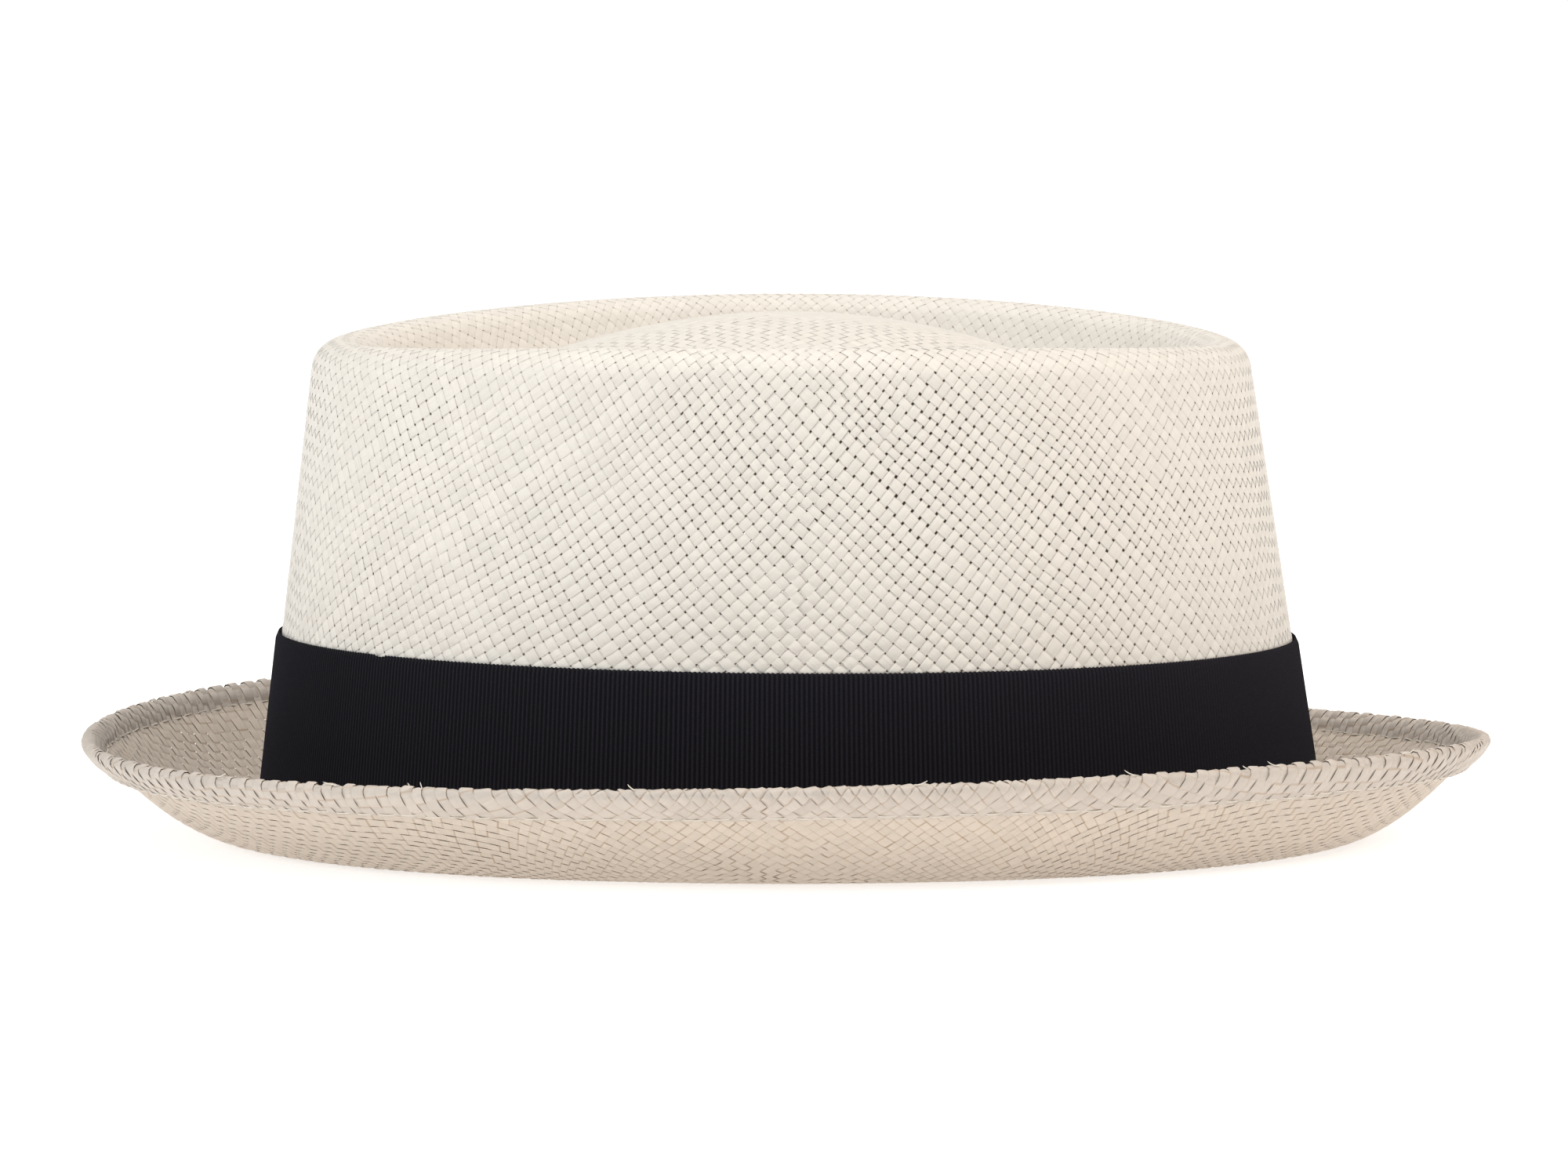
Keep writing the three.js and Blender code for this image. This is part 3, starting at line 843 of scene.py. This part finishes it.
def ribbon_band(material):
    """The ribbon runs round the crown's foot. Its free end lies over its start on the far side."""
    free_end = RIBBON_LAP / 2
    loop = 2 * np.pi * CROWN_HALF_LENGTH
    count = int(loop / RIB_PITCH) * STEPS_A_RIB
    length = np.linspace(free_end - loop + 0.2 * MM, free_end, count)
    angle = np.pi / 2 + length / CROWN_HALF_LENGTH
    place = sections(angle)
    phase = np.arange(count) * 2 * np.pi / STEPS_A_RIB
    rib = np.cos(phase)
    climb = smooth_step(length, -free_end - LAP_RAMP, -free_end)
    base = RIBBON_CLEARANCE + RIBBON_STAND_OFF * (0.55 + climb)
    top = RIBBON_TOP + RIBBON_TOP_SLOPE * place.foot[:, 0] + 0.1 * MM * rib
    bottom = RIBBON_BOTTOM + 0.1 * MM * rib
    from_tack = place.foot[:, 0] - TACK_PLACE
    tack = (np.abs(from_tack) < TACK_HALF_WIDTH) & (place.foot[:, 1] < 0)
    nick = np.where(tack, TACK_DEPTH * np.cos(np.pi * from_tack / (2 * TACK_HALF_WIDTH)), 0)
    outer = []
    for share in RIBBON_ROWS:
        height = bottom + (top - nick - bottom) * share
        edge = 1 - smooth_step(min(share, 1 - share), 0, 0.03)
        out = base + RIB_HEIGHT * rib * (1 - 0.6 * edge) - 0.3 * MM * edge
        outer.append(crown_point(place, out - np.tan(place.taper) * height, height))
    inner = []
    for share, _ in BACK_ROWS:
        height = bottom + (top - nick - bottom) * share
        out = base - RIBBON_THICKNESS - np.tan(place.taper) * height
        inner.append(crown_point(place, out, height))
    grid = np.stack(outer + inner)
    sides = len(grid)
    label = np.arange(sides * count).reshape(sides, count)
    faces = []
    for side in range(sides):
        this, following = label[side], label[(side + 1) % sides]
        faces.append(np.stack([this[:-1], this[1:], following[1:], following[:-1]], axis=-1))
    ends = []
    for station, flip in ((0, False), (count - 1, True)):
        # A fan of quads from the middle of the ribbon's back
        ring = np.roll(label[:, station], -len(outer) - 1)
        for corner in range(1, sides - 1, 2):
            quad = [ring[0], *ring[corner : corner + 3]]
            ends.append(quad[::-1] if flip else quad)
    faces = np.concatenate(faces + [np.array(ends)])
    lengths = np.tile(length - length[0], sides)
    heights = np.repeat(np.array(list(RIBBON_ROWS) + [mapped for _, mapped in BACK_ROWS]), count)
    bake = np.stack([lengths / lengths.max(), heights / 2], axis=-1)
    threads = np.stack([lengths / RIB_PITCH, heights * (RIBBON_TOP - RIBBON_BOTTOM) / MM], axis=-1)
    maps = {"OFBake": bake, "weave": threads}
    ribbon = mesh_object("ribbon", grid.reshape(-1, 3), faces, maps, material)
    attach(ribbon, "root")
    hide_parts("ribbon_band")
    return ribbon


# Materials

class Nodes:
    """Short calls that make and join a tree's nodes."""

    def __init__(self, tree):
        self.tree = tree

    def feed(self, node, inputs):
        """Joins sockets to a node's inputs, or sets the inputs' own values."""
        for key, value in inputs.items():
            if isinstance(value, bpy.types.NodeSocket):
                self.tree.links.new(value, node.inputs[key])
            else:
                node.inputs[key].default_value = value

    def add(self, kind, inputs=None, **settings):
        node = self.tree.nodes.new(kind)
        for name, value in settings.items():
            setattr(node, name, value)
        self.feed(node, inputs or {})
        return node

    def math(self, operation, first, second=0.0):
        return self.add("ShaderNodeMath", {0: first, 1: second}, operation=operation).outputs[0]

    def mix(self, factor, first, second):
        """A colour between two others."""
        node = self.add("ShaderNodeMix", {0: factor, 6: first, 7: second}, data_type="RGBA")
        return node.outputs[2]

    def ramp(self, value, low, high):
        """A smooth mask that goes from 0 at the low value to 1 at the high one."""
        node = self.add(
            "ShaderNodeMapRange", {"Value": value, "From Min": low, "From Max": high},
            interpolation_type="SMOOTHSTEP",
        )
        return node.outputs[0]

    def times(self, first, second):
        return self.math("MULTIPLY", first, second)

    def place(self, x, y):
        return self.add("ShaderNodeCombineXYZ", {0: x, 1: y}).outputs[0]

    def noise(self, place, detail, roughness=0.5):
        inputs = {"Vector": place, "Scale": 1.0, "Detail": detail, "Roughness": roughness}
        return self.add("ShaderNodeTexNoise", inputs, noise_dimensions="2D").outputs["Fac"]

    def from_middle(self, value):
        """How far a value lies from the middle between two whole numbers."""
        return self.math("ABSOLUTE", self.math("SUBTRACT", self.math("FRACT", value), 0.5))


def new_group(name, inputs, outputs):
    """An empty node group with named inputs and outputs, and its nodes' helper."""
    group = bpy.data.node_groups.new(name, "ShaderNodeTree")
    for socket, kind, value in inputs:
        made = group.interface.new_socket(socket, in_out="INPUT", socket_type=kind)
        if value is not None:
            made.default_value = value
    for socket, kind in outputs:
        group.interface.new_socket(socket, in_out="OUTPUT", socket_type=kind)
    nodes = Nodes(group)
    return group, nodes, nodes.add("NodeGroupInput").outputs, nodes.add("NodeGroupOutput")


COLOUR = "NodeSocketColor"
NUMBER = "NodeSocketFloat"
VECTOR = "NodeSocketVector"


def straw_fibre_group():
    """Split straw: fibres along each strand, strands of different tone, and painted shade that darkens
    the creases and corners.
    """
    group, nodes, given, result = new_group(
        "Straw fibres",
        [
            ("Strand Map", VECTOR, None),
            ("Straw", COLOUR, (0.7, 0.65, 0.57, 1)),
            ("Painted Crease Shade", COLOUR, (0.3, 0.2, 0.1, 1)),
            ("Crease Strength", NUMBER, 0.5),
            ("Painted Corner Shade Strength", NUMBER, 0.5),
            ("Strand Difference", NUMBER, 0.1),
            ("Fibre Strength", NUMBER, 0.14),
        ],
        [("Color", COLOUR), ("Roughness", NUMBER), ("Height", NUMBER)],
    )
    split = nodes.add("ShaderNodeSeparateXYZ", {0: given["Strand Map"]}).outputs
    strand = nodes.math("FLOOR", split[1])
    across = nodes.from_middle(split[1])
    gap = nodes.from_middle(split[0])
    # Painted shade: masks of the creases along each strand's edges and where it dives under, and of the
    # corner holes between crossings
    crease = nodes.math("MAXIMUM", nodes.ramp(across, 0.4, 0.5), nodes.ramp(gap, 0.14, 0.02))
    corner = nodes.times(nodes.ramp(across, 0.4, 0.49), nodes.ramp(gap, 0.17, 0.08))

    tone = nodes.add("ShaderNodeTexWhiteNoise", {"W": strand}, noise_dimensions="1D").outputs["Value"]
    fibres = nodes.noise(nodes.place(nodes.times(split[0], 0.55), nodes.times(split[1], 9.0)), 2.0, 0.6)
    patch = nodes.noise(nodes.place(nodes.times(split[0], 0.9), strand), 1.0)

    difference = nodes.times(nodes.math("SUBTRACT", tone, 0.5), given["Strand Difference"])
    patches = nodes.times(nodes.math("SUBTRACT", patch, 0.5), given["Strand Difference"])
    streaks = nodes.times(nodes.math("SUBTRACT", fibres, 0.5), given["Fibre Strength"])
    value = nodes.math("ADD", nodes.math("ADD", nodes.math("ADD", difference, patches), streaks), 1.0)
    toned = nodes.add("ShaderNodeHueSaturation", {"Color": given["Straw"], "Value": value}).outputs[0]
    # The painted shade comes and goes in patches along each strand
    crease_shade = nodes.times(nodes.times(crease, nodes.ramp(patch, 0.4, 0.66)), given["Crease Strength"])
    corners = nodes.times(nodes.times(corner, nodes.ramp(patch, 0.36, 0.56)), given["Painted Corner Shade Strength"])
    painted_shade = nodes.math("MAXIMUM", crease_shade, corners)
    rough = nodes.math("ADD", nodes.times(fibres, 0.2), 0.42)
    colour = nodes.mix(painted_shade, toned, given["Painted Crease Shade"])
    nodes.feed(result, {"Color": colour, "Roughness": rough, "Height": fibres})
    return group


def new_material(name):
    material = bpy.data.materials.new(name)
    material.use_nodes = True
    nodes = Nodes(material.node_tree)
    return material, nodes, material.node_tree.nodes["Principled BSDF"]


def straw_material(name, fibres, values):
    """Split straw, with its own values for the group's inputs."""
    material, nodes, shader = new_material(name)
    group = nodes.add("ShaderNodeGroup", node_tree=fibres)
    weave = nodes.add("ShaderNodeUVMap", uv_map="weave").outputs[0]
    nodes.feed(group, {"Strand Map": weave, **values})
    given = group.outputs
    bump = nodes.add("ShaderNodeBump", {"Strength": 0.35, "Distance": 0.0002, "Height": given["Height"]})
    nodes.feed(shader, {
        "Base Color": given["Color"], "Roughness": given["Roughness"],
        "Normal": bump.outputs[0], "Specular IOR Level": 0.35,
    })
    return material


def ribbon_material():
    """Fine weft threads across the ribs, with painted light on the ribs' tops and painted shade in the
    grooves between them.
    """
    material, nodes, shader = new_material("Black ribbed ribbon")
    weave = nodes.add("ShaderNodeUVMap", uv_map="weave").outputs[0]
    split = nodes.add("ShaderNodeSeparateXYZ", {0: weave}).outputs
    threads = nodes.noise(nodes.place(nodes.times(split[0], 1.3), nodes.times(split[1], 5.0)), 2.0)
    # Painted light and shade: the ribs' tops lighter, the grooves between them darker
    painted_rib_light = nodes.ramp(nodes.from_middle(split[0]), 0.1, 0.45)
    shade = nodes.mix(painted_rib_light, (0.003, 0.0027, 0.0042, 1), (0.0125, 0.0112, 0.0155, 1))
    value = nodes.math("ADD", nodes.times(threads, 0.9), 0.55)
    tone = nodes.add("ShaderNodeHueSaturation", {"Color": shade, "Value": value}).outputs[0]
    bump = nodes.add("ShaderNodeBump", {"Strength": 0.5, "Distance": 0.00015, "Height": threads})
    nodes.feed(shader, {
        "Base Color": tone, "Roughness": 0.85, "Normal": bump.outputs[0], "Specular IOR Level": 0.12,
    })
    return material


def thread_material():
    """Pale twisted sewing thread."""
    material, nodes, shader = new_material("Hem thread")
    weave = nodes.add("ShaderNodeUVMap", uv_map="weave").outputs[0]
    twist = nodes.add(
        "ShaderNodeTexWave", {"Vector": weave, "Scale": 2.2, "Distortion": 1.0},
        bands_direction="DIAGONAL",
    ).outputs["Fac"]
    tone = nodes.mix(twist, (0.6, 0.54, 0.45, 1), (0.76, 0.71, 0.63, 1))
    bump = nodes.add("ShaderNodeBump", {"Strength": 0.4, "Distance": 0.0001, "Height": twist})
    nodes.feed(shader, {
        "Base Color": tone, "Roughness": 0.7, "Normal": bump.outputs[0], "Specular IOR Level": 0.25,
    })
    return material


# Studio

PHOTO_WIDTH = 2000
CAMERA_FOCUS = 23215.7  # pixels of the photo
CAMERA_ELEVATION = 4.85
CAMERA_DISTANCE = 3.5
LOOK_AT = Vector((-0.38 * MM, 0, 48 * MM))
SENSOR_WIDTH = 36
SPOT_SCALE = (10.2, 11.8, 0)  # one over the half axes, in metres, of the dark spot under the crown


def camera():
    data = bpy.data.cameras.new("camera")
    data.sensor_width = SENSOR_WIDTH
    data.lens = CAMERA_FOCUS / PHOTO_WIDTH * SENSOR_WIDTH
    data.clip_end = 100
    view = bpy.data.objects.new("camera", data)
    lift = math.radians(CAMERA_ELEVATION)
    back = Vector((0, -math.cos(lift), math.sin(lift)))
    view.location = LOOK_AT + back * CAMERA_DISTANCE
    view.rotation_euler = back.to_track_quat("Z", "Y").to_euler()
    bpy.context.scene.collection.objects.link(view)
    bpy.context.scene.camera = view


def soft_light(name, place, size, power, colour):
    data = bpy.data.lights.new(name, "AREA")
    data.shape = "DISK"
    data.size = size
    data.energy = power
    data.color = colour
    light = bpy.data.objects.new(name, data)
    light.location = place
    light.rotation_euler = (Vector(place) - LOOK_AT).to_track_quat("Z", "Y").to_euler()
    light.visible_camera = False
    bpy.context.scene.collection.objects.link(light)


def studio():
    scene = bpy.context.scene
    scene.view_settings.view_transform = "Standard"
    world = bpy.data.worlds.new("white room")
    world.use_nodes = True
    nodes = Nodes(world.node_tree)
    room = world.node_tree.nodes["Background"]
    nodes.feed(room, {"Color": (0.98, 0.99, 1, 1), "Strength": 0.64})
    seen = nodes.add("ShaderNodeBackground", {"Color": (1, 1, 1, 1), "Strength": 1.0}).outputs[0]
    ray = nodes.add("ShaderNodeLightPath").outputs["Is Camera Ray"]
    both = nodes.add("ShaderNodeMixShader", {0: ray, 1: room.outputs[0], 2: seen}).outputs[0]
    world.node_tree.links.new(both, world.node_tree.nodes["World Output"].inputs["Surface"])
    scene.world = world
    soft_light("cool light from the left", (-2.2, -1.5, 1.1), 1.2, 21, (0.82, 0.93, 1))
    soft_light("warm light from the right", (1.9, -0.4, 1.7), 1.2, 26, (1, 0.9, 0.8))
    soft_light("light from above", (-0.4, -0.35, 2.4), 1, 30, (1, 0.975, 0.945))

    bpy.ops.mesh.primitive_plane_add(size=40)
    floor = bpy.context.object
    floor.name = "floor"
    material, nodes, shader = new_material("pale floor")
    # No glow under the crown, so that the weave's holes look dark
    spot = nodes.add("ShaderNodeTexCoord").outputs["Object"]
    scaled = nodes.add("ShaderNodeVectorMath", {0: spot, 1: SPOT_SCALE}, operation="MULTIPLY").outputs[0]
    away = nodes.add("ShaderNodeVectorMath", {0: scaled}, operation="LENGTH").outputs["Value"]
    below = nodes.add("ShaderNodeNewGeometry").outputs["Backfacing"]
    glow = nodes.mix(nodes.math("MAXIMUM", nodes.ramp(away, 0.9, 1), below), (0, 0, 0, 1), (1, 1, 1, 1))
    nodes.feed(shader, {
        "Base Color": (0.75, 0.75, 0.75, 1), "Roughness": 0.9, "Specular IOR Level": 0,
        "Emission Color": glow, "Emission Strength": 0.58,
    })
    floor.data.materials.append(material)


camera()
studio()
fibres = straw_fibre_group()
# Each straw's crease and corner strengths set how much shade is painted into its creases and corner holes
crown_straw = straw_material("Crown straw", fibres, {
    "Straw": (0.655, 0.612, 0.55, 1), "Painted Crease Shade": (0.13, 0.075, 0.035, 1),
    "Crease Strength": 0.12, "Painted Corner Shade Strength": 1, "Strand Difference": 0.07,
})
# Painted shade: the brim's and the hem's straw are the crown's straw made darker and warmer
shaded_brim_straw = straw_material("Brim straw with painted shade", fibres, {
    "Straw": (0.565, 0.483, 0.401, 1), "Painted Crease Shade": (0.3, 0.19, 0.1, 1),
    "Crease Strength": 0.6, "Painted Corner Shade Strength": 0.8, "Strand Difference": 0.08,
})
shaded_hem_straw = straw_material("Hem straw with painted shade", fibres, {
    "Straw": (0.49, 0.43, 0.373, 1), "Painted Crease Shade": (0.3, 0.18, 0.09, 1),
    "Crease Strength": 0.45, "Painted Corner Shade Strength": 0.9, "Strand Difference": 0.1,
})
straw_pieces(crown_straw, shaded_brim_straw, shaded_hem_straw)
thread = thread_material()
hem_stitches(thread)
loose_fibres(thread)
ribbon = ribbon_band(ribbon_material())
